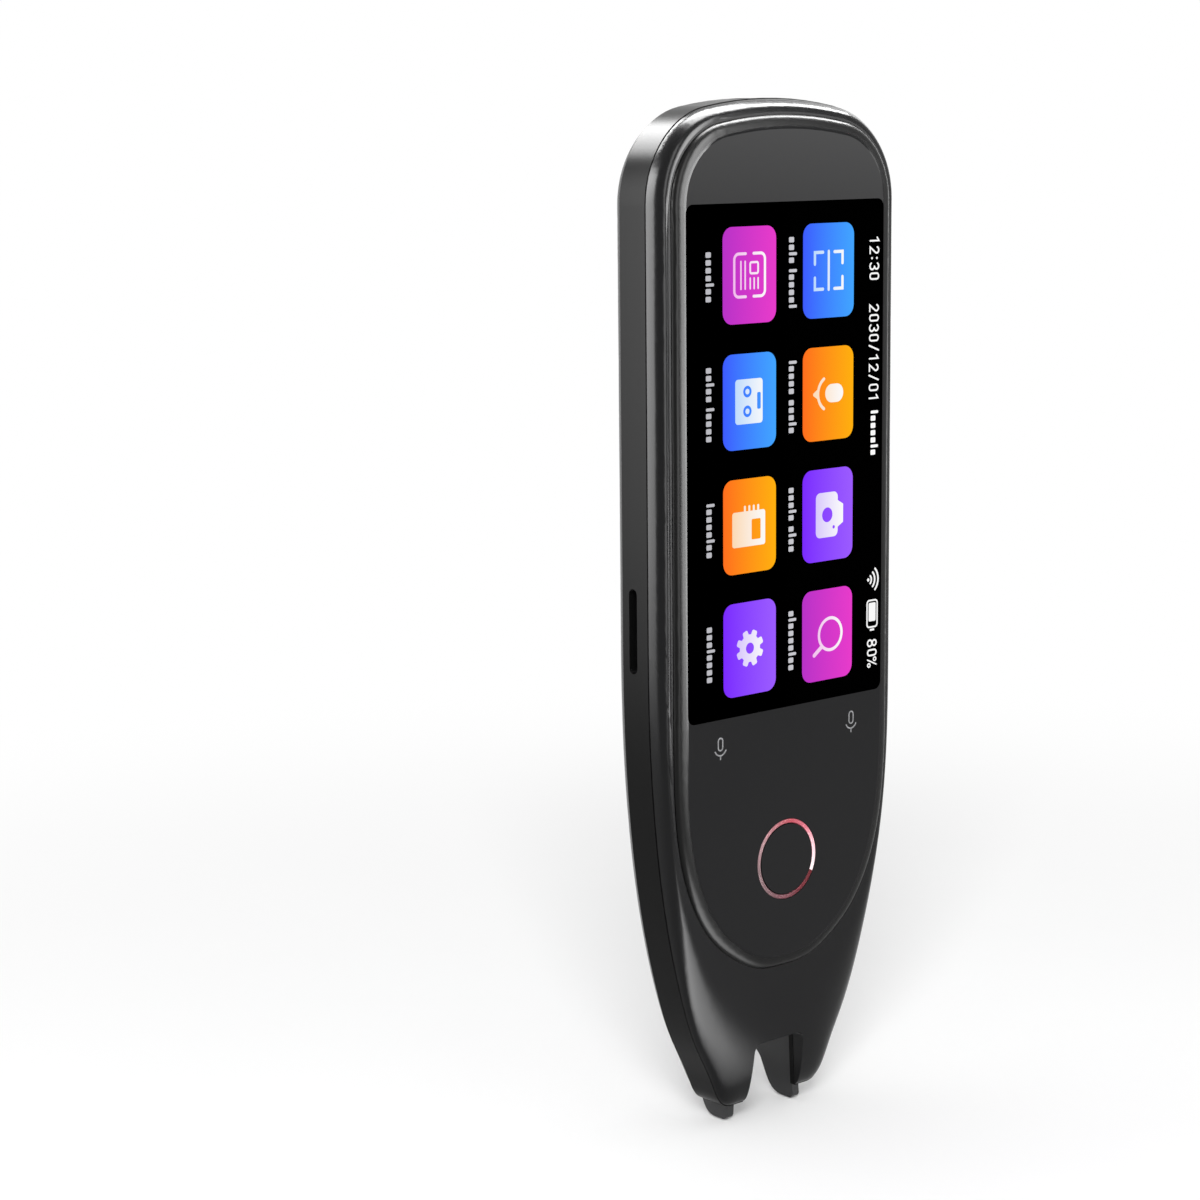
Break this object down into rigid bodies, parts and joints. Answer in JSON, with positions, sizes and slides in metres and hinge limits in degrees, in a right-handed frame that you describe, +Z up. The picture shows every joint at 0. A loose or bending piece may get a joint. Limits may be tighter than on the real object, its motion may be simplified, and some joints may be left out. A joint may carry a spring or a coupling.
{
  "type": "handheld translator",
  "caption": "Flat pen-shaped scanning translator with a touch screen, side keys, a rear camera and a forked tip that slides in when pressed.",
  "frame": {"origin": "on the floor under the middle of the scanning tip's two feet, on the body's mid-plane", "axes": "+Z up along the pen from its tip to its top end; the screen faces -Y, the camera side faces +Y; +X is to the right seen from the front, where the keys are"},
  "size_m": [0.0472, 0.014, 0.145],
  "materials": {
    "frame_metal": "matte black anodised",
    "housing_plastic": "high gloss",
    "cover_paint": "moulded shell with dark grey metallic gloss paint",
    "cover_glass": "polished, printed black behind",
    "tape": "matte",
    "panel": "gloss",
    "rose_metal": "polished rose",
    "key_cap": "satin",
    "key_skirt": "gloss pink",
    "switch_plastic": "matte",
    "switch_metal": "plain",
    "board_resin": "solder mask",
    "shield_steel": "tinned",
    "nib_plastic": "satin",
    "spring_steel": "drawn wire",
    "inner_plastic": "moulded",
    "lens_glass": "coated",
    "lamp": "clear yellow",
    "red_metal": "anodised red",
    "window_glass": "polished black",
    "battery_wrap": "foil",
    "speaker_box": "moulded",
    "mesh": "fine mesh",
    "port_steel": "plated",
    "screw_steel": "black zinc"
  },
  "bodies": {
    "housing": {"battery": "battery_wrap", "board_connectors": "switch_plastic", "camera_lens": "lens_glass", "camera_module": "inner_plastic", "camera_ring": "red_metal", "camera_window": "window_glass", "card_socket": "port_steel", "case_screws": "screw_steel", "display_adhesive": "tape", "display_panel": "panel", "front_glass": "cover_glass", "front_housing": "housing_plastic", "home_ring": "rose_metal", "home_switch": "switch_metal", "key_board": "board_resin", "main_board": "board_resin", "microphones": "switch_metal", "nib_switch": "switch_plastic", "power_switch": "switch_metal", "rear_cover": "cover_paint", "scan_bracket": "inner_plastic", "scan_camera": "inner_plastic", "scan_lens": "lens_glass", "scan_lights": "lamp", "shield_can": "shield_steel", "side_frame": "frame_metal", "speaker": "speaker_box", "speaker_mesh": "mesh", "usb_port": "port_steel", "volume_switches": "switch_metal"},
    "volume_key": {"volume_key": "key_cap", "volume_key_skirt": "key_skirt"},
    "power_key": {"power_key": "key_cap", "power_key_skirt": "key_skirt"},
    "home_key": {"home_key": "cover_glass"},
    "scan_nib": {"scan_nib": "nib_plastic", "nib_springs": "spring_steel"}
  },
  "joints": [
    {"name": "volume_rock", "type": "hinge", "parent": "housing", "child": "volume_key", "pos_m": [0.0214, -0.0001, 0.1146], "axis": [0, 1, 0], "range_deg": [-1.6, 1.6], "stiffness_Nm_per_rad": 0.6},
    {"name": "power_press", "type": "slide", "parent": "housing", "child": "power_key", "axis": [-1, 0, 0], "range_m": [0, 0.0003], "stiffness_N_per_m": 2500, "springref_m": -0.0001},
    {"name": "home_press", "type": "slide", "parent": "housing", "child": "home_key", "axis": [0, 1, 0], "range_m": [0, 0.0003], "stiffness_N_per_m": 2500, "springref_m": -0.0001},
    {"name": "nib_press", "type": "slide", "parent": "housing", "child": "scan_nib", "axis": [0, 0, 1], "range_m": [0, 0.0008], "stiffness_N_per_m": 900, "springref_m": -0.0008, "deforming": ["nib_springs"]}
  ]
}
